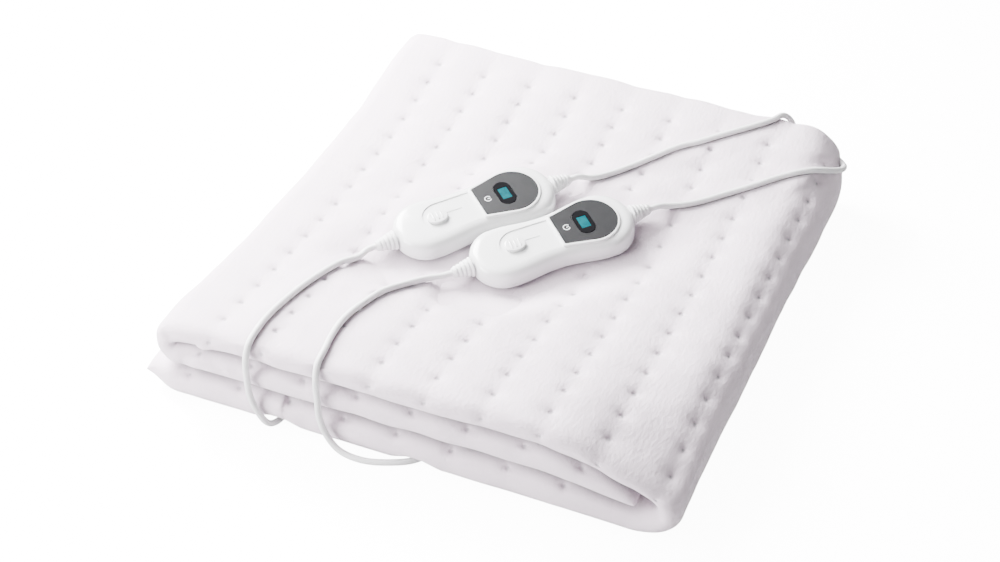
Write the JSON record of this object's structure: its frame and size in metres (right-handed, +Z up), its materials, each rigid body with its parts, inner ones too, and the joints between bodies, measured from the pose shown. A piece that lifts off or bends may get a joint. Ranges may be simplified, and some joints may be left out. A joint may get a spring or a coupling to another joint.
{
  "type": "electric heated blanket",
  "caption": "Folded quilted electric heated blanket with corded hand controls lying on top and their mains leads coiled behind it.",
  "frame": {"origin": "middle of the folded blanket's footprint, on the surface that it rests on", "axes": "+X along the front edge from left to right, +Y from the front edge to the back, +Z up"},
  "size_m": [0.484, 0.5799, 0.0947],
  "materials": {
    "quilted_cloth": "soft white non-woven cloth with sewn dots",
    "case_plastic": "glossy white",
    "panel_grey": "satin mid grey",
    "window_black": "polished black",
    "display_teal": "lit teal display",
    "cord_sleeve": "satin white",
    "tie_black": "matt black",
    "pin_brass": "plated"
  },
  "bodies": {
    "pile": {"blanket": "quilted_cloth", "coil_a": "cord_sleeve", "coil_b": "cord_sleeve", "control_a_display": "display_teal", "control_a_lead_relief": "cord_sleeve", "control_a_lower_case": "case_plastic", "control_a_mains_relief": "cord_sleeve", "control_a_panel": "panel_grey", "control_a_upper_case": "case_plastic", "control_a_window": "window_black", "control_b_display": "display_teal", "control_b_lead_relief": "cord_sleeve", "control_b_lower_case": "case_plastic", "control_b_mains_relief": "cord_sleeve", "control_b_panel": "panel_grey", "control_b_upper_case": "case_plastic", "control_b_window": "window_black", "lead_a": "cord_sleeve", "lead_b": "cord_sleeve", "mains_a": "cord_sleeve", "mains_a_tail": "cord_sleeve", "mains_b": "cord_sleeve", "mains_b_tail": "cord_sleeve", "plug_a": "cord_sleeve", "plug_a_pin_1": "pin_brass", "plug_a_pin_2": "pin_brass", "plug_b": "cord_sleeve", "plug_b_pin_1": "pin_brass", "plug_b_pin_2": "pin_brass", "tie_a": "tie_black", "tie_b": "tie_black"},
    "slider_a": {"control_a_slider": "case_plastic"},
    "slider_b": {"control_b_slider": "case_plastic"}
  },
  "joints": [
    {"name": "slide_a", "type": "slide", "parent": "pile", "child": "slider_a", "axis": [0.6617, 0.7469, 0.0654], "range_m": [0, 0.012]},
    {"name": "slide_b", "type": "slide", "parent": "pile", "child": "slider_b", "axis": [0.6872, 0.724, 0.0605], "range_m": [0, 0.012]}
  ]
}
